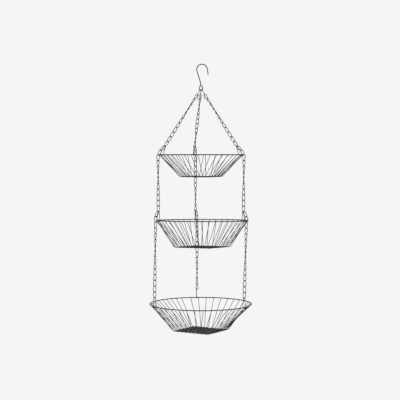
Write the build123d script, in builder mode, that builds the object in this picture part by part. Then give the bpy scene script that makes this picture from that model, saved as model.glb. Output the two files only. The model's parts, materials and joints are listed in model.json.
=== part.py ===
from build123d import *
from dataclasses import dataclass
import math
import os

# Three-tier hanging wire fruit basket, in millimetres, +Z up, front towards -Y.
# The origin is on the inside of the ceiling hook's crook, straight above its eye.

# Ceiling hook: one wire bent into a crook, a leaning shank and a closed eye
hook_wire = 2.8
crook_inner_radius = 14.2
crook_offset = 3.0
crook_tip_length = 17.8
crook_tip_lean = 9.0
neck_drop = 57.0
neck_bend_radius = 5.0
eye_inner_radius = 3.8
eye_drop = 70.4

# Chain: twisted links, whose two ends stand a quarter turn apart. The right chains are
# wound the other way, as the left ones' mirror image.
link_wire = 1.9
link_pitch = 16.75
link_play = 0.6
link_end_width = 6.8
link_middle_width = 8.8
link_bend_radius = 3.2
link_side_radius = 14.0
link_twist = 90.0

# Chain hooks: they join the three chains to the eye, each with a free tail
chain_hook_wire = 1.6
chain_hook_tail = 15.0
chain_hook_tail_bend = 3.0
chain_hook_reach = 11.0
chain_hook_drop = 16.9
chain_hook_seat_angle = 40.0
chain_hook_gap = 0.4
chain_hook_tail_room = 3.6

# Rim hooks: long loops that carry each rim from a chain link
rim_hook_wire = 1.8
rim_hook_rise = 28.5
rim_hook_foot_width = 9.2
rim_hook_head_width = 4.7
rim_hook_mouth = 1.2
rim_hook_mouth_share = 0.72
rim_hook_bend_share = 0.9
rim_hook_room = 3.6

# Chain beside each rim hook: two links lie over the upper and middle rims' outside
side_by_side = 2.5
rim_link_side = 5.8

# Baskets: a rim of thick wire and a woven square floor whose wires rise to the rim
rim_wire = 2.8
basket_wire = 1.6
weave_gap = 0.2
weave_bend_radius = 5.0
wall_bend_radius = 8.0
floor_edge_run = 3.2
floor_lead = 1.0
weld_depth = 0.5
seat_gap = 0.2

upper_rim_diameter = 252.0
upper_depth = 65.0
upper_floor_side = 101.0
middle_rim_diameter = 276.0
middle_depth = 79.0
middle_floor_side = 130.0
lower_rim_diameter = 305.0
lower_depth = 79.5
lower_floor_side = 127.0

# How far the middle and lower baskets hang to one side of the eye
middle_shift = 4.0
lower_shift = -0.9

# Where the chain lies over the rim, measured outwards from the rim's wire
upper_joint_out = -0.6
upper_pass_out = 8.0
middle_joint_out = 6.4
middle_pass_out = 6.6

link_count = {"upper": 11, "middle": 10, "lower": 13}
chain_sides = ("back", "left", "right")
chain_hand = {"back": 1, "left": 1, "right": -1}


@dataclass
class Tier:
    """One basket: its own sizes, its wire counts and how it hangs."""

    name: str
    rim_diameter: float
    depth: float
    floor_side: float
    long_count: int
    cross_count: int
    long_step: float
    cross_step: float
    floor_turn: float
    rim_turn: float
    tilt: float
    shift: float
    hook_lean: float
    hook_azimuths: dict
    joint_out: float = 0.0
    pass_out: float = 0.0
    rim_level: float = 0.0

    @property
    def rim_radius(self):
        return (self.rim_diameter - rim_wire) / 2

    @property
    def plane(self):
        """The rim's plane, which leans a little towards the viewer or away."""
        lean = math.radians(self.tilt)
        return Plane(
            origin=(self.shift, 0, self.rim_level),
            x_dir=(1, 0, 0),
            z_dir=(0, -math.sin(lean), math.cos(lean)),
        )

    def side_azimuths(self, quarter):
        """Where the wires of one side meet the rim."""
        count, step = (
            (self.long_count, self.long_step)
            if quarter % 2 == 0
            else (self.cross_count, self.cross_step)
        )
        return [self.rim_turn + 90 * quarter + place * step for place in centred(count)]

    def wire_azimuths(self):
        """Where all the basket's wires meet the rim."""
        return [azimuth for quarter in range(4) for azimuth in self.side_azimuths(quarter)]

    def hook_azimuth(self, side):
        """Where this hook hangs, moved aside if a wire of the basket is in its way."""
        wanted = self.hook_azimuths[side]
        room = math.degrees(rim_hook_room / self.rim_radius)
        turns = [(wire - wanted + 180) % 360 - 180 for wire in self.wire_azimuths()]
        nearest = min(turns, key=abs)
        if abs(nearest) >= room:
            return wanted
        return wanted + nearest - math.copysign(room, nearest)

    def seat(self, side):
        """A plane on the rim wire at one hook: X outwards, Y along the rim, Z up."""
        turn = math.radians(self.hook_azimuth(side))
        outwards = Vector(math.cos(turn), math.sin(turn), 0)
        on_rim = self.plane.from_local_coords(outwards * self.rim_radius)
        return Plane(
            origin=on_rim,
            x_dir=on_rim - self.plane.origin,
            z_dir=self.plane.z_dir,
        )

    def head(self):
        """The rim hook's head in its seat, midway between hook and chain."""
        lean = math.radians(self.hook_lean)
        return Vector(-rim_hook_rise * math.sin(lean), 0, rim_hook_rise * math.cos(lean))

    def rim_link_path(self, hand):
        """Start, joint and end of the two links that lie over the rim."""
        start = self.head() + Vector(0, -hand * side_by_side / 2, -joint_height / 2)
        across = Vector(self.joint_out, -hand * rim_link_side, 0)
        joint = drop_from(start, across, link_pitch)
        passing = Vector(self.pass_out, -hand * rim_link_side, 0)
        return start, joint, drop_from(joint, passing, link_pitch)


def centred(count):
    """Whole places spread evenly about zero, such as -1, 0, 1."""
    return [index - (count - 1) / 2 for index in range(count)]


def drop_from(start, across, length):
    """The point at that length from the start, over the given X and Y, below it."""
    flat = math.hypot(across.X - start.X, across.Y - start.Y)
    return Vector(across.X, across.Y, start.Z - math.sqrt(length**2 - flat**2))


def gather(label, pieces):
    """One node that holds several separate solids."""
    solids = [solid for piece in pieces for solid in piece.solids()]
    return Compound(label=label, children=solids)


def bent_wire(points, radii, wire):
    """A round wire along straight runs, with an arc at each corner."""
    with BuildPart() as bent:
        with BuildLine() as path:
            FilletPolyline(*points, radius=radii)
        with BuildSketch(Plane(origin=path.line @ 0, z_dir=path.line % 0)):
            Circle(wire / 2)
        sweep(path=path.line)
    return bent.part


# Between two links, the upper link's lower bar lies this far below the lower link's
# upper bar, centre to centre.
joint_height = link_wire + link_play
link_half_length = (link_pitch + joint_height) / 2

# At a rim hook two heads share one link end, so they lie where its sides are straight.
shared_height = link_bend_radius


# Chain link

half_twist = math.radians(link_twist / 2)


def link_corner(side, end):
    """One corner of the link: its upper end turns one way and its lower end the other."""
    reach = side * link_end_width / 2
    turn = end * half_twist
    return Vector(reach * math.cos(turn), reach * math.sin(turn), end * link_half_length)


link_side_middle = Vector(link_middle_width / 2, 0, 0)
link_bar_middle = Vector(0, 0, link_half_length)

with BuildPart() as half_link:
    with BuildLine() as half_path:
        FilletPolyline(
            link_bar_middle,
            link_corner(1, 1),
            link_side_middle,
            link_corner(1, -1),
            -link_bar_middle,
            radius=[link_bend_radius, link_side_radius, link_bend_radius],
        )
    with BuildSketch(Plane(origin=half_path.line @ 0, z_dir=half_path.line % 0)):
        Circle(link_wire / 2)
    sweep(path=half_path.line)

with BuildPart() as link:
    with PolarLocations(0, 2):
        add(half_link.part)
links = {1: link.part, -1: mirror(link.part, about=Plane.XZ)}
print(f"link: {link.part.volume:.1f} mm3 in one solid, {half_link.part.volume:.1f} in its half")


def link_places(start, end, count, hand, first_bar, last_bar=None):
    """Places for a run of links, from the bar at its top to the bar at its foot.

    The run hangs with a slow twist of about half a turn, against the links' own twist.
    """
    upwards = (start - end).normalized()
    base = Plane(origin=start, x_dir=first_bar.cross(upwards).cross(-upwards), z_dir=upwards)
    turn = 0.0
    if last_bar is not None:
        lies = base.to_local_coords(base.origin + last_bar)
        wanted = math.degrees(math.atan2(hand * lies.Y, lies.X)) + link_twist
        turn = (wanted + 90) % 180 - 270
    places = []
    for index in range(count):
        centre = start + (end - start) * ((index + 1 / 2) / count)
        roll = -link_twist / 2 + turn * index / max(count - 1, 1)
        flat = Plane(origin=centre, x_dir=base.x_dir, z_dir=upwards)
        places.append(flat.location * Rotation(0, 0, hand * roll))
    return places


def link_run(label, places, hand):
    """One node with a separate solid for each link of the run."""
    return gather(label, [links[hand].moved(place) for place in places])


# Places of the tiers, from the eye down

eye_radius = eye_inner_radius + hook_wire / 2
eye_centre = Vector(0, 0, -eye_drop)
chain_top_level = -eye_drop - chain_hook_drop

upper = Tier(
    name="upper",
    rim_diameter=upper_rim_diameter,
    depth=upper_depth,
    floor_side=upper_floor_side,
    long_count=9,
    cross_count=9,
    long_step=9.6,
    cross_step=9.6,
    floor_turn=63.9,
    rim_turn=57.5,
    tilt=0.7,
    shift=0.0,
    hook_lean=24.8,
    hook_azimuths={"back": 100.0, "left": 201.0, "right": 337.5},
    joint_out=upper_joint_out,
    pass_out=upper_pass_out,
)
middle = Tier(
    name="middle",
    rim_diameter=middle_rim_diameter,
    depth=middle_depth,
    floor_side=middle_floor_side,
    long_count=10,
    cross_count=11,
    long_step=8.5,
    cross_step=8.5,
    floor_turn=58.9,
    rim_turn=59.0,
    tilt=-1.3,
    shift=middle_shift,
    hook_lean=0.0,
    hook_azimuths={"back": 98.0, "left": 199.0, "right": 331.0},
    joint_out=middle_joint_out,
    pass_out=middle_pass_out,
)
lower = Tier(
    name="lower",
    rim_diameter=lower_rim_diameter,
    depth=lower_depth,
    floor_side=lower_floor_side,
    long_count=9,
    cross_count=13,
    long_step=9.16,
    cross_step=7.03,
    floor_turn=57.4,
    rim_turn=65.2,
    tilt=0.5,
    shift=lower_shift,
    hook_lean=0.0,
    hook_azimuths={"back": 94.4, "left": 207.0, "right": 328.0},
)
tiers = (upper, middle, lower)


def rim_level_below(start_level, start_radius, run_length, tier):
    """The rim's level when a run of chain of that length reaches its hook's head."""
    head = tier.head()
    flat = tier.rim_radius + head.X - start_radius
    return start_level - math.sqrt(run_length**2 - flat**2) - head.Z


def set_levels():
    """Hangs each basket from the chain above it."""
    to_head = joint_height - shared_height
    length = link_count["upper"] * link_pitch + to_head
    upper.rim_level = rim_level_below(chain_top_level, chain_hook_reach, length, upper)
    for above, tier in ((upper, middle), (middle, lower)):
        foot = above.rim_link_path(chain_hand["back"])[2]
        length = link_count[tier.name] * link_pitch + joint_height / 2 - shared_height
        tier.rim_level = rim_level_below(
            above.rim_level + foot.Z, above.rim_radius + foot.X, length, tier
        )


set_levels()


# Ceiling hook

crook_radius = crook_inner_radius + hook_wire / 2
crook_rise = math.sqrt(crook_inner_radius**2 - crook_offset**2)
crook_to_neck = neck_drop - crook_rise
crook_reach = math.hypot(crook_offset, crook_to_neck)
shank_lean = math.degrees(
    math.asin(crook_radius / crook_reach) - math.atan2(crook_offset, crook_to_neck)
)
eye_flank = math.degrees(math.asin(eye_radius / (eye_drop - neck_drop)))


def on_circle(centre, radius, angle):
    """A point of a circle in the hook's flat plane, as X and height."""
    turn = math.radians(angle)
    return (centre[0] + radius * math.cos(turn), centre[1] + radius * math.sin(turn))


crook_centre = (crook_offset, -crook_rise)
crook_start = on_circle(crook_centre, crook_radius, crook_tip_lean)
crook_end = on_circle(crook_centre, crook_radius, 180 + shank_lean)
tip_lean = math.radians(crook_tip_lean)
crook_tip = (
    crook_start[0] + crook_tip_length * math.sin(tip_lean),
    crook_start[1] - crook_tip_length * math.cos(tip_lean),
)
neck = (0, -neck_drop)
eye_middle = (0, -eye_drop)
eye_left = on_circle(eye_middle, eye_radius, 180 - eye_flank)
eye_right = on_circle(eye_middle, eye_radius, eye_flank)
eye_close_share = (hook_wire + seat_gap) / (eye_right[0] - eye_left[0])
eye_end = (
    eye_right[0] * eye_close_share,
    neck[1] + (eye_right[1] - neck[1]) * eye_close_share,
)

with BuildPart() as ceiling_hook:
    with BuildLine(Plane.XZ) as hook_path:
        Line(crook_tip, crook_start)
        CenterArc(
            crook_centre,
            crook_radius,
            crook_tip_lean,
            180 + shank_lean - crook_tip_lean,
        )
        FilletPolyline(crook_end, neck, eye_left, radius=neck_bend_radius)
        CenterArc(eye_middle, eye_radius, 180 - eye_flank, 180 + 2 * eye_flank)
        Line(eye_right, eye_end)
    with BuildSketch(Plane(origin=hook_path.line @ 0, z_dir=hook_path.line % 0)):
        Circle(hook_wire / 2)
    sweep(path=hook_path.line)
ceiling_hook.part.label = "ceiling_hook"


# Chain hooks

seat_side = {"back": 0.0, "left": -1.0, "right": 1.0}


def chain_top(side):
    """The centre of the top bar of each chain's first link."""
    turn = math.radians(upper.hook_azimuth(side))
    return Vector(
        chain_hook_reach * math.cos(turn),
        chain_hook_reach * math.sin(turn),
        chain_top_level,
    )


def chain_hook_frame(side):
    """Seat on the eye, direction to the chain, and the two directions across it."""
    turn = math.radians(chain_hook_seat_angle * seat_side[side])
    seat = eye_centre + Vector(math.sin(turn), 0, -math.cos(turn)) * eye_radius
    along_eye = Vector(math.cos(turn), 0, math.sin(turn))
    towards = (chain_top(side) - seat).normalized()
    bar = (along_eye - towards * along_eye.dot(towards)).normalized()
    return seat, towards, bar, bar.cross(towards)


def chain_hook(side):
    """A wire over the eye: one leg curls round the chain, the other hangs free."""
    seat, towards, bar, across = chain_hook_frame(side)
    top = chain_top(side)
    inwards = -1 if across.dot(Vector(top.X, top.Y, 0)) > 0 else 1
    free = across * inwards
    eye_room = (hook_wire + chain_hook_wire) / 2 + chain_hook_gap
    bar_room = (link_wire + chain_hook_wire) / 2 + chain_hook_gap
    tail_start = top + free * chain_hook_tail_room
    points = [
        tail_start - Vector(0, 0, chain_hook_tail),
        tail_start,
        seat - towards * eye_room + free * eye_room,
        seat - towards * eye_room - free * eye_room,
        top + towards * bar_room - free * bar_room,
        top + towards * bar_room + free * (bar_room / 2),
    ]
    turn_radius = min(eye_room, bar_room) * rim_hook_bend_share
    radii = [
        chain_hook_tail_bend,
        eye_room * rim_hook_bend_share,
        eye_room * rim_hook_bend_share,
        turn_radius,
    ]
    return bent_wire(points, radii, chain_hook_wire)


# Rim hooks


def rim_hook(tier, side):
    """A long loop round the rim, hung by its head from a chain link."""
    seat = tier.seat(side)
    lean = math.radians(tier.hook_lean)
    outwards = Vector(math.cos(lean), 0, math.sin(lean))
    upwards = Vector(-math.sin(lean), 0, math.cos(lean))
    beside = Vector(0, chain_hand[side] * side_by_side / 2, 0)
    foot = -((rim_wire + rim_hook_wire) / 2 + seat_gap)
    foot_half = rim_hook_foot_width / 2
    head_half = rim_hook_head_width / 2

    def inner_leg(height):
        share = (height - foot) / (rim_hook_rise - foot)
        half = foot_half + (head_half - foot_half) * share
        return beside - outwards * half + upwards * height

    mouth = foot + (rim_hook_rise - foot) * rim_hook_mouth_share
    local = [
        inner_leg(mouth),
        beside - outwards * foot_half + upwards * foot,
        beside + outwards * foot_half + upwards * foot,
        beside + outwards * head_half + upwards * rim_hook_rise,
        beside - outwards * head_half + upwards * rim_hook_rise,
        inner_leg(mouth + rim_hook_mouth),
    ]
    foot_radius = foot_half * rim_hook_bend_share
    head_radius = head_half * rim_hook_bend_share
    radii = [foot_radius, foot_radius, head_radius, head_radius]
    return bent_wire([seat.from_local_coords(point) for point in local], radii, rim_hook_wire)


# Baskets


def wall_points(tier, turn, offset, azimuth):
    """Floor end, corner and rim end of one wire's rise to the rim, in the rim's plane."""
    along = Vector(math.cos(turn), math.sin(turn), 0)
    aside = Vector(-math.sin(turn), math.cos(turn), 0)
    corner = along * (tier.floor_side / 2) + aside * offset + Vector(0, 0, -tier.depth)
    meets = math.radians(azimuth)
    rim_point = Vector(math.cos(meets), math.sin(meets), 0) * tier.rim_radius
    rise = (rim_point - corner).normalized()
    bend = math.acos(rise.dot(along))
    start = corner - along * (wall_bend_radius * math.tan(bend / 2) + floor_lead)
    end = rim_point - rise * (rim_wire / 2 - weld_depth)
    return start, corner, end


def floor_edge(tier):
    """How far in from the floor's sides its outermost wires lie, clear of every wall bend."""
    reaches = []
    for quarter in range(2):
        turn = math.radians(tier.floor_turn + 90 * quarter)
        azimuths = tier.side_azimuths(quarter)
        for azimuth, end in ((azimuths[0], -1), (azimuths[-1], 1)):
            start, corner, _ = wall_points(tier, turn, end * tier.floor_side / 2, azimuth)
            reaches.append((corner - start).length)
    return max(reaches) + floor_lead + floor_edge_run


def floor_offsets(tier, count):
    """Sideways places of the floor wires, from one edge of the floor to the other."""
    half = tier.floor_side / 2 - floor_edge(tier)
    return [2 * half * place / (count - 1) for place in centred(count)]


def side_walls(tier, quarter):
    """Start, corner and end of each wall wire on one side of the basket."""
    turn = math.radians(tier.floor_turn + 90 * quarter)
    azimuths = tier.side_azimuths(quarter)
    rises = []
    for azimuth, offset in zip(azimuths, floor_offsets(tier, len(azimuths))):
        rises.append(wall_points(tier, turn, offset, azimuth))
    return rises


def wall_wires(tier, quarters):
    """The wires that rise from two opposite sides of the floor to the rim."""
    wires = []
    for quarter in quarters:
        for points in side_walls(tier, quarter):
            placed = [tier.plane.from_local_coords(point) for point in points]
            wires.append(bent_wire(placed, [wall_bend_radius], basket_wire))
    return wires


def floor_wires(tier, quarter, first_sign):
    """The floor runs of one direction, each crimped over and under the wires it crosses."""
    count = tier.long_count if quarter == 0 else tier.cross_count
    crossings = tier.cross_count if quarter == 0 else tier.long_count
    along = math.radians(tier.floor_turn + 90 * quarter)
    run = Vector(math.cos(along), math.sin(along), 0)
    aside = Vector(-math.sin(along), math.cos(along), 0)
    floor_level = Vector(0, 0, -tier.depth)
    across = floor_offsets(tier, crossings)
    spacing = across[1] - across[0]
    seat = (basket_wire + weave_gap) / 2
    crest = seat + weave_bend_radius * (math.hypot(1, 2 * seat / spacing) - 1)
    ends_out = side_walls(tier, quarter)
    ends_back = side_walls(tier, quarter + 2)
    wires = []
    for index, offset in enumerate(floor_offsets(tier, count)):
        far = ends_out[index][0]
        near = ends_back[count - 1 - index][0]
        points = [near, near + run * floor_lead]
        for crossing, place in enumerate(across):
            sign = first_sign * (-1) ** (index + crossing)
            lift = Vector(0, 0, sign * crest)
            points.append(run * place + aside * offset + floor_level + lift)
        points += [far - run * floor_lead, far]
        placed = [tier.plane.from_local_coords(point) for point in points]
        radii = [weave_bend_radius] * (len(placed) - 2)
        wires.append(bent_wire(placed, radii, basket_wire))
    return wires


def basket_parts(tier):
    """The rim, the walls and the woven floor of one basket."""
    with BuildPart(tier.plane) as rim:
        Torus(tier.rim_radius, rim_wire / 2)
    rim.part.label = f"{tier.name}_rim"
    return [
        rim.part,
        gather(f"{tier.name}_long_wall_wires", wall_wires(tier, (0, 2))),
        gather(f"{tier.name}_cross_wall_wires", wall_wires(tier, (1, 3))),
        gather(f"{tier.name}_long_floor_wires", floor_wires(tier, 0, 1)),
        gather(f"{tier.name}_cross_floor_wires", floor_wires(tier, 1, (-1) ** tier.cross_count)),
    ]


# Chains


def run_ends(tier, side):
    """The top joint and the foot joint of one run of chain, and its first bar."""
    seat = tier.seat(side)
    head = seat.from_local_coords(tier.head())
    if tier is upper:
        bar_centre = chain_top(side)
        towards = (bar_centre - head).normalized()
        start = bar_centre - towards * (joint_height / 2)
        first_bar = chain_hook_frame(side)[2]
    else:
        above = tiers[tiers.index(tier) - 1]
        above_seat = above.seat(side)
        start = above_seat.from_local_coords(above.rim_link_path(chain_hand[side])[2])
        towards = (start - head).normalized()
        first_bar = above_seat.x_dir
    end = head - towards * (shared_height - joint_height / 2)
    return start, end, first_bar


def chain_part(tier, side):
    """The run of chain that reaches down to this tier's rim hook."""
    start, end, first_bar = run_ends(tier, side)
    count = link_count[tier.name]
    hand = chain_hand[side]
    spacing = (start - end).length / count
    print(f"{tier.name} {side} chain: links {spacing:.2f} mm apart")
    places = link_places(start, end, count, hand, first_bar, tier.seat(side).y_dir)
    return link_run(f"{tier.name}_chain_{side}", places, hand)


def rim_links(tier, side):
    """The two links that lie over the rim's outside and carry the chain below."""
    seat = tier.seat(side)
    hand = chain_hand[side]
    path = [seat.from_local_coords(point) for point in tier.rim_link_path(hand)]
    places = []
    for start, end in zip(path, path[1:]):
        places += link_places(start, end, 1, hand, seat.x_dir)
    return link_run(f"{tier.name}_rim_links_{side}", places, hand)


# Every piece of the object, ready to be written

parts = [ceiling_hook.part]
for side in chain_sides:
    hook = chain_hook(side)
    hook.label = f"chain_hook_{side}"
    parts.append(hook)
for tier in tiers:
    parts += basket_parts(tier)
    for side in chain_sides:
        hook = rim_hook(tier, side)
        hook.label = f"{tier.name}_rim_hook_{side}"
        parts.append(hook)
        parts.append(chain_part(tier, side))
        if tier is not lower:
            parts.append(rim_links(tier, side))

os.makedirs("parts", exist_ok=True)
for piece in parts:
    export_step(piece, f"parts/{piece.label}.step")
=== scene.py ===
import bmesh
import bpy
import json
import math
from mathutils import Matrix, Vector, noise


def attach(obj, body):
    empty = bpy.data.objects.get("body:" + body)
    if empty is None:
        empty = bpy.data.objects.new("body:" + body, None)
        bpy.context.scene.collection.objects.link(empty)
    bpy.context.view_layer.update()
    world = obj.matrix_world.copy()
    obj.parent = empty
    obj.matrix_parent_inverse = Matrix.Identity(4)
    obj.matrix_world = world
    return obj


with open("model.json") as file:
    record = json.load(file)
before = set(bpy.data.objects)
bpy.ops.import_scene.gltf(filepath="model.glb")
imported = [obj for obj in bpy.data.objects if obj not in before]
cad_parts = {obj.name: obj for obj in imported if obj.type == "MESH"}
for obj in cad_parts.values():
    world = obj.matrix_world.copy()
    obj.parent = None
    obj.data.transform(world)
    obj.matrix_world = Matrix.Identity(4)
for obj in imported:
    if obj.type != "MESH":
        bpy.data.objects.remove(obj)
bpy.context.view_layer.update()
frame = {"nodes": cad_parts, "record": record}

# A hanging fruit basket of black coated iron wire. The CAD model's wires stay as they are and
# get their finishes here, with the rounded wire ends and the welds that a maker leaves on them.
# Lengths are in metres, unless a value's comment says otherwise.

mm = 0.001
tiers = ("upper", "middle", "lower")

# Camera, at the photograph's viewing angle
camera_place = Vector((-0.003, -3.24, -0.310))
camera_target = Vector((-0.003, 0.0, -0.4005))
camera_lens = 98.2
camera_sensor = 36.0

# Room: a pale floor well below the basket, and the same pale tone all round
pale = (0.913, 0.913, 0.913)
pale_roughness = 0.9
pale_specular = 0.1
floor_level = -1.55
floor_radius = 2.6
floor_sides = 96
world_strength = 0.85
seen_strength = 1.0

# Lamps: two soft squares, the stronger one in front on the left
lamp_target = Vector((0.0, 0.0, -0.4))
key_place = Vector((-1.6, -2.0, 1.4))
key_size = 1.6
key_power = 42.0
fill_place = Vector((2.2, -1.6, 0.2))
fill_size = 2.0
fill_power = 16.0

# Rounded wire ends: radius and height about the end's flat face, in shares of the wire's
# radius, and what counts as that face's edge when it is looked for
end_outline_shares = (
    (0, -0.6),
    (1.0, -0.6),
    (1.02, -0.1),
    (0.93, 0.22),
    (0.66, 0.45),
    (0.3, 0.56),
    (0, 0.58),
)
sharp_turn = math.radians(50)
same_point = 0.01 * mm

# Welds: radius and height about the wire, in millimetres, then how far the surface rises and
# falls, and how many of these lumps a metre holds
spoke_weld_outline = (
    (0, -2.1),
    (0.78, -2.1),
    (0.9, -1.5),
    (1.12, -1.0),
    (1.5, -0.55),
    (1.45, 0.0),
    (0, 0.4),
)
link_weld_outline = (
    (0, -1.3),
    (0.92, -1.3),
    (1.05, -0.7),
    (1.08, -0.3),
    (0.99, 0),
    (1.08, 0.3),
    (1.05, 0.7),
    (0.92, 1.3),
    (0, 1.3),
)
rim_weld_outline = (
    (0, -3.4),
    (1.37, -3.4),
    (1.47, -2.2),
    (1.58, -0.9),
    (1.52, 0),
    (1.6, 1.1),
    (1.46, 2.3),
    (1.37, 3.4),
    (0, 3.4),
)
weld_facets = 16
weld_lump = 0.07 * mm
lump_scale = 900.0

# Where the welds go: spoke welds on ends this near the rim, as a share of its radius, link
# welds among the points this near a link's middle, and one rim weld at this azimuth
rim_nearness_share = 0.85
link_weld_reach = 2.5 * mm
rim_weld_azimuth = math.radians(75)
rim_wire = 2.8 * mm

# Finishes: colours are linear, scales are waves per metre, and the limits are the noise
# values between which an effect grows from nothing to full
coat_black = (0.0060, 0.0059, 0.0058)
chain_black = (0.0085, 0.0083, 0.0080)
coat_worn = (0.022, 0.021, 0.020)
bare_iron = (0.14, 0.13, 0.12)
coat_specular = 0.22
tone_scale = 45.0
tone_limits = (0.32, 0.68)
tone_lift = 1.7
roughness_spread = 0.14
peel_scale = 1800.0
peel_strength = 0.25
peel_height = 0.06 * mm
chip_scale = 420.0
chip_share = 0.1
chip_edge = 0.72
chip_softness = 0.05
chip_metallic = 0.8
rub_scale = 70.0
rub_limits = (0.45, 0.75)
rub_strength = 0.55


def set_socket(node, name, value):
    """Sets a plain number or colour on a node's own input."""
    node.inputs[name].default_value = value


def new_group(name, inputs, outputs):
    """A shader node group with named sockets, and its two end nodes."""
    group = bpy.data.node_groups.new(name, "ShaderNodeTree")
    for label, value in inputs:
        socket = group.interface.new_socket(label, in_out="INPUT", socket_type="NodeSocketFloat")
        socket.default_value = value
    for label in outputs:
        group.interface.new_socket(label, in_out="OUTPUT", socket_type="NodeSocketFloat")
    entry = group.nodes.new("NodeGroupInput")
    leave = group.nodes.new("NodeGroupOutput")
    return group, entry, leave


def noise_texture(tree, place, detail, roughness):
    """A noise texture in the piece's own coordinates, whose scale the caller sets or links."""
    node = tree.nodes.new("ShaderNodeTexNoise")
    set_socket(node, "Detail", detail)
    set_socket(node, "Roughness", roughness)
    tree.links.new(place, node.inputs["Vector"])
    return node


def ramp(tree, value, low, high):
    """Spreads the part of a value between low and high over nought to one."""
    node = tree.nodes.new("ShaderNodeMapRange")
    node.interpolation_type = "SMOOTHSTEP"
    set_socket(node, "From Min", low)
    set_socket(node, "From Max", high)
    tree.links.new(value, node.inputs["Value"])
    return node.outputs["Result"]


def mix_colour(tree, share, first, second):
    """A colour between two, each a socket or a plain colour."""
    node = tree.nodes.new("ShaderNodeMix")
    node.data_type = "RGBA"
    tree.links.new(share, node.inputs["Factor"])
    for socket, colour in ((node.inputs[6], first), (node.inputs[7], second)):
        if isinstance(colour, tuple):
            socket.default_value = (*colour, 1.0)
        else:
            tree.links.new(colour, socket)
    return node.outputs[2]


def mix_value(tree, share, first, second):
    """A number between two plain numbers."""
    node = tree.nodes.new("ShaderNodeMapRange")
    set_socket(node, "To Min", first)
    set_socket(node, "To Max", second)
    tree.links.new(share, node.inputs["Value"])
    return node.outputs["Result"]


def math_node(tree, operation, first, second):
    """One sum of two values, each a socket or a plain number."""
    node = tree.nodes.new("ShaderNodeMath")
    node.operation = operation
    for socket, value in zip(node.inputs, (first, second)):
        if isinstance(value, (int, float)):
            socket.default_value = value
        else:
            tree.links.new(value, socket)
    return node.outputs["Value"]


# Effects that several finishes share


def make_coat_texture():
    """The fine orange peel of a dipped coat, and slow changes of tone along the wire."""
    group, entry, leave = new_group(
        "coat_texture",
        [("Peel Scale", peel_scale), ("Tone Scale", tone_scale)],
        ["Tone", "Height"],
    )
    place = group.nodes.new("ShaderNodeTexCoord").outputs["Object"]
    peel = noise_texture(group, place, detail=2.0, roughness=0.5)
    group.links.new(entry.outputs["Peel Scale"], peel.inputs["Scale"])
    tone = noise_texture(group, place, detail=3.0, roughness=0.6)
    group.links.new(entry.outputs["Tone Scale"], tone.inputs["Scale"])
    group.links.new(ramp(group, tone.outputs["Fac"], *tone_limits), leave.inputs["Tone"])
    group.links.new(peel.outputs["Fac"], leave.inputs["Height"])
    return group


def make_wear():
    """Small chips and rubbed places where the black coat has gone."""
    group, entry, leave = new_group(
        "rubbed_wear",
        [("Chip Scale", chip_scale), ("Chip Share", chip_share)],
        ["Chips", "Rub"],
    )
    place = group.nodes.new("ShaderNodeTexCoord").outputs["Object"]
    chips = noise_texture(group, place, detail=4.0, roughness=0.65)
    group.links.new(entry.outputs["Chip Scale"], chips.inputs["Scale"])
    edge = math_node(group, "SUBTRACT", chip_edge, entry.outputs["Chip Share"])
    raised = math_node(group, "SUBTRACT", chips.outputs["Fac"], edge)
    group.links.new(ramp(group, raised, 0.0, chip_softness), leave.inputs["Chips"])
    rub = noise_texture(group, place, detail=2.0, roughness=0.5)
    set_socket(rub, "Scale", rub_scale)
    group.links.new(ramp(group, rub.outputs["Fac"], *rub_limits), leave.inputs["Rub"])
    return group


coat_texture = make_coat_texture()
rubbed_wear = make_wear()


def place_group(tree, group, **values):
    """Puts a shared effect into a material, with that material's own values."""
    node = tree.nodes.new("ShaderNodeGroup")
    node.node_tree = group
    for name, value in values.items():
        set_socket(node, name.replace("_", " "), value)
    return node.outputs


def coated_iron(name, black, chip_share, peel_scale, roughness):
    """Black coated iron wire: satin coat, slow tone changes, and small bare chips."""
    material = bpy.data.materials.new(name)
    material.use_nodes = True
    tree = material.node_tree
    shader = tree.nodes["Principled BSDF"]
    coat = place_group(tree, coat_texture, Peel_Scale=peel_scale)
    wear = place_group(tree, rubbed_wear, Chip_Share=chip_share)
    lifted = tuple(tone_lift * part for part in black)
    toned = mix_colour(tree, coat["Tone"], black, lifted)
    rub = math_node(tree, "MULTIPLY", wear["Rub"], rub_strength)
    rubbed = mix_colour(tree, rub, toned, coat_worn)
    chipped = mix_colour(tree, wear["Chips"], rubbed, bare_iron)
    tree.links.new(chipped, shader.inputs["Base Color"])
    satin = mix_value(tree, coat["Tone"], roughness, roughness + roughness_spread)
    tree.links.new(satin, shader.inputs["Roughness"])
    bare = math_node(tree, "MULTIPLY", wear["Chips"], chip_metallic)
    tree.links.new(bare, shader.inputs["Metallic"])
    bump = tree.nodes.new("ShaderNodeBump")
    set_socket(bump, "Strength", peel_strength)
    set_socket(bump, "Distance", peel_height)
    tree.links.new(coat["Height"], bump.inputs["Height"])
    tree.links.new(bump.outputs["Normal"], shader.inputs["Normal"])
    set_socket(shader, "Specular IOR Level", coat_specular)
    return material


finishes = {
    "hook_wire": coated_iron(
        "hook_iron", coat_black, chip_share=0.12, peel_scale=1500.0, roughness=0.40
    ),
    "chain_wire": coated_iron(
        "chain_iron", chain_black, chip_share=0.15, peel_scale=2200.0, roughness=0.40
    ),
    "basket_wire": coated_iron(
        "basket_iron", coat_black, chip_share=0.10, peel_scale=2000.0, roughness=0.44
    ),
}

body_of = {}
for body, nodes in frame["record"]["behaviour"]["bodies"].items():
    for node in nodes:
        body_of[node] = body
slot_of = {part["node"]: part["material_slot"] for part in frame["record"]["subparts"]}


def dress_nodes():
    """Gives each CAD node the finish of its slot."""
    for name, node in frame["nodes"].items():
        node.data.materials.clear()
        node.data.materials.append(finishes[slot_of[name]])


# Forms that a maker's tools leave on the wire


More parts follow.
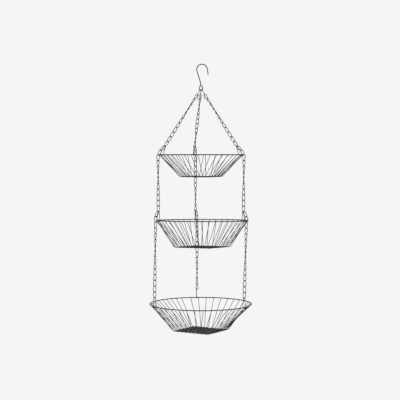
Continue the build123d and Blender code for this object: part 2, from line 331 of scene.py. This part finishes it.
def turned(shape, centre, axis, outline, lump=0.0):
    """A round form about an axis, from its outline's pairs of radius and height."""
    across = axis.orthogonal().normalized()
    beside = axis.cross(across)
    rings = []
    for radius, height in outline:
        middle = centre + axis * height
        ring = []
        for facet in range(weld_facets if radius > 0 else 1):
            turn = math.tau * facet / weld_facets
            out = across * math.cos(turn) + beside * math.sin(turn)
            place = middle + out * radius
            place += out * lump * noise.noise(place * lump_scale)
            ring.append(shape.verts.new(place))
        rings.append(ring)
    for low, high in zip(rings, rings[1:]):
        for facet in range(weld_facets):
            after = facet + 1
            corners = [
                low[facet % len(low)],
                low[after % len(low)],
                high[after % len(high)],
                high[facet % len(high)],
            ]
            shape.faces.new(dict.fromkeys(corners)).smooth = True


def scaled(outline, unit):
    """An outline with both its radii and its heights times the unit."""
    return [(radius * unit, height * unit) for radius, height in outline]


def open_node(node):
    """A welded copy of a CAD node's mesh, to read places from."""
    shape = bmesh.new()
    shape.from_mesh(frame["nodes"][node].data)
    bmesh.ops.remove_doubles(shape, verts=shape.verts, dist=same_point)
    return shape


def joined_groups(items, neighbours):
    """Groups of items that hang together, in the items' own order."""
    left = set(items)
    groups = []
    for first in items:
        if first not in left:
            continue
        left.discard(first)
        group = [first]
        for item in group:
            for other in neighbours(item):
                if other in left:
                    left.discard(other)
                    group.append(other)
        groups.append(group)
    return groups


def wire_ends(node):
    """Centre, outward axis and radius of each flat wire end of a node."""
    shape = open_node(node)
    sharp = [edge for edge in shape.edges if edge.calc_face_angle(0.0) > sharp_turn]

    def beside(edge):
        return (other for vert in edge.verts for other in vert.link_edges)

    ends = []
    for ring in joined_groups(sharp, beside):
        corners = dict.fromkeys(vert for edge in ring for vert in edge.verts)
        centre = sum((vert.co for vert in corners), Vector()) / len(corners)
        radius = sum((vert.co - centre).length for vert in corners) / len(corners)
        edge = ring[0]
        first, second = (vert.co - centre for vert in edge.verts)
        axis = first.cross(second).normalized()
        cap = max(edge.link_faces, key=lambda face: abs(face.normal.dot(axis)))
        ends.append((centre, cap.normal.copy(), radius))
    shape.free()
    return ends


def finish_piece(name, shape, like_node):
    """Makes the built form a piece that rides with the node and has its finish."""
    bmesh.ops.recalc_face_normals(shape, faces=shape.faces)
    mesh = bpy.data.meshes.new(name)
    shape.to_mesh(mesh)
    shape.free()
    piece = bpy.data.objects.new(name, mesh)
    bpy.context.scene.collection.objects.link(piece)
    mesh.materials.append(finishes[slot_of[like_node]])
    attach(piece, body_of[like_node])


def make_wire_end_domes():
    """The cut wire ends of the hooks, each rounded over."""
    for node in frame["nodes"]:
        if slot_of[node] != "hook_wire":
            continue
        shape = bmesh.new()
        for centre, axis, radius in wire_ends(node):
            turned(shape, centre, axis, scaled(end_outline_shares, radius))
        finish_piece(f"{node}_ends", shape, node)


def rim_circle(tier):
    """Centre, upward normal and outer radius of a rim."""
    places = [vert.co.copy() for vert in frame["nodes"][f"{tier}_rim"].data.vertices]
    centre = sum(places, Vector()) / len(places)
    furthest = max(places, key=lambda place: (place - centre).length) - centre
    aside = max(places, key=lambda place: furthest.cross(place - centre).length) - centre
    normal = furthest.cross(aside).normalized()
    if normal.z < 0:
        normal = -normal
    return centre, normal, furthest.length


def make_spoke_welds():
    """The small collars where the basket's wires are welded to each rim."""
    for tier in tiers:
        centre, _, radius = rim_circle(tier)
        shape = bmesh.new()
        for run in ("long", "cross"):
            for place, axis, _ in wire_ends(f"{tier}_{run}_wall_wires"):
                if (place - centre).length > radius * rim_nearness_share:
                    turned(shape, place, axis, scaled(spoke_weld_outline, mm), weld_lump)
        finish_piece(f"{tier}_spoke_welds", shape, f"{tier}_rim")


def make_rim_welds():
    """The butt weld that closes each rim."""
    for tier in tiers:
        centre, normal, outer = rim_circle(tier)
        out = Vector((math.cos(rim_weld_azimuth), math.sin(rim_weld_azimuth), 0))
        out = (out - normal * out.dot(normal)).normalized()
        place = centre + out * (outer - rim_wire / 2)
        shape = bmesh.new()
        turned(shape, place, normal.cross(out), scaled(rim_weld_outline, mm), weld_lump)
        finish_piece(f"{tier}_rim_weld", shape, f"{tier}_rim")


def link_middle(places):
    """Centre and direction of the wire halfway down one side of a link."""
    centre = sum(places, Vector()) / len(places)
    far = max(places, key=lambda place: (place - centre).length)
    long_axis = (far - centre).normalized()

    def height(place):
        return (place - centre).dot(long_axis)

    near_middle = [place for place in places if abs(height(place)) < link_weld_reach]
    widest = max(near_middle, key=lambda place: (place - centre).cross(long_axis).length)
    side = (widest - centre) - long_axis * height(widest)
    ring = [place for place in near_middle if (place - centre).dot(side) > 0]
    upper = [place for place in ring if height(place) > 0]
    lower = [place for place in ring if height(place) <= 0]
    top = sum(upper, Vector()) / len(upper)
    foot = sum(lower, Vector()) / len(lower)
    return (top + foot) / 2, (top - foot).normalized()


def make_link_welds():
    """The butt weld halfway down one side of every chain link."""
    for node in frame["nodes"]:
        if slot_of[node] != "chain_wire":
            continue
        cad = open_node(node)

        def beside(vert):
            return (edge.other_vert(vert) for edge in vert.link_edges)

        shape = bmesh.new()
        for link in joined_groups(cad.verts, beside):
            place, axis = link_middle([vert.co for vert in link])
            turned(shape, place, axis, scaled(link_weld_outline, mm), weld_lump)
        cad.free()
        finish_piece(f"{node}_link_welds", shape, node)


# Room, light and camera


def pale_material(name):
    """A pale matt surface, seen as plain background where nothing shades it."""
    material = bpy.data.materials.new(name)
    material.use_nodes = True
    shader = material.node_tree.nodes["Principled BSDF"]
    set_socket(shader, "Base Color", (*pale, 1.0))
    set_socket(shader, "Roughness", pale_roughness)
    set_socket(shader, "Specular IOR Level", pale_specular)
    return material


def make_floor():
    """A plain round floor, well below the basket."""
    mesh = bpy.data.meshes.new("floor")
    shape = bmesh.new()
    bmesh.ops.create_circle(shape, cap_ends=True, segments=floor_sides, radius=floor_radius)
    shape.to_mesh(mesh)
    shape.free()
    floor = bpy.data.objects.new("floor", mesh)
    floor.location = (0.0, 0.0, floor_level)
    bpy.context.scene.collection.objects.link(floor)
    mesh.materials.append(pale_material("pale_floor"))


def make_world():
    """Even light from all round, seen as the pale background by the camera and in gloss."""
    world = bpy.data.worlds.new("pale_room")
    bpy.context.scene.world = world
    world.use_nodes = True
    tree = world.node_tree
    background = tree.nodes["Background"]
    set_socket(background, "Color", (*pale, 1.0))
    path = tree.nodes.new("ShaderNodeLightPath")
    seen = math_node(tree, "MAXIMUM", path.outputs["Is Camera Ray"], path.outputs["Is Glossy Ray"])
    seen = math_node(tree, "MAXIMUM", seen, path.outputs["Is Transmission Ray"])
    strength = mix_value(tree, seen, world_strength, seen_strength)
    tree.links.new(strength, background.inputs["Strength"])


def make_lamp(name, place, size, power):
    """A soft square lamp that faces the basket."""
    data = bpy.data.lights.new(name, "AREA")
    data.energy = power
    data.size = size
    lamp = bpy.data.objects.new(name, data)
    lamp.location = place
    lamp.rotation_euler = (lamp_target - place).to_track_quat("-Z", "Y").to_euler()
    bpy.context.scene.collection.objects.link(lamp)


def make_camera():
    """The camera, level with the upper part of the basket."""
    data = bpy.data.cameras.new("camera")
    data.lens = camera_lens
    data.sensor_width = camera_sensor
    camera = bpy.data.objects.new("camera", data)
    camera.location = camera_place
    camera.rotation_euler = (camera_target - camera_place).to_track_quat("-Z", "Y").to_euler()
    bpy.context.scene.collection.objects.link(camera)
    bpy.context.scene.camera = camera


dress_nodes()
make_wire_end_domes()
make_spoke_welds()
make_rim_welds()
make_link_welds()
make_floor()
make_world()
make_lamp("key", key_place, key_size, key_power)
make_lamp("fill", fill_place, fill_size, fill_power)
make_camera()

bpy.context.scene.view_settings.view_transform = "Standard"
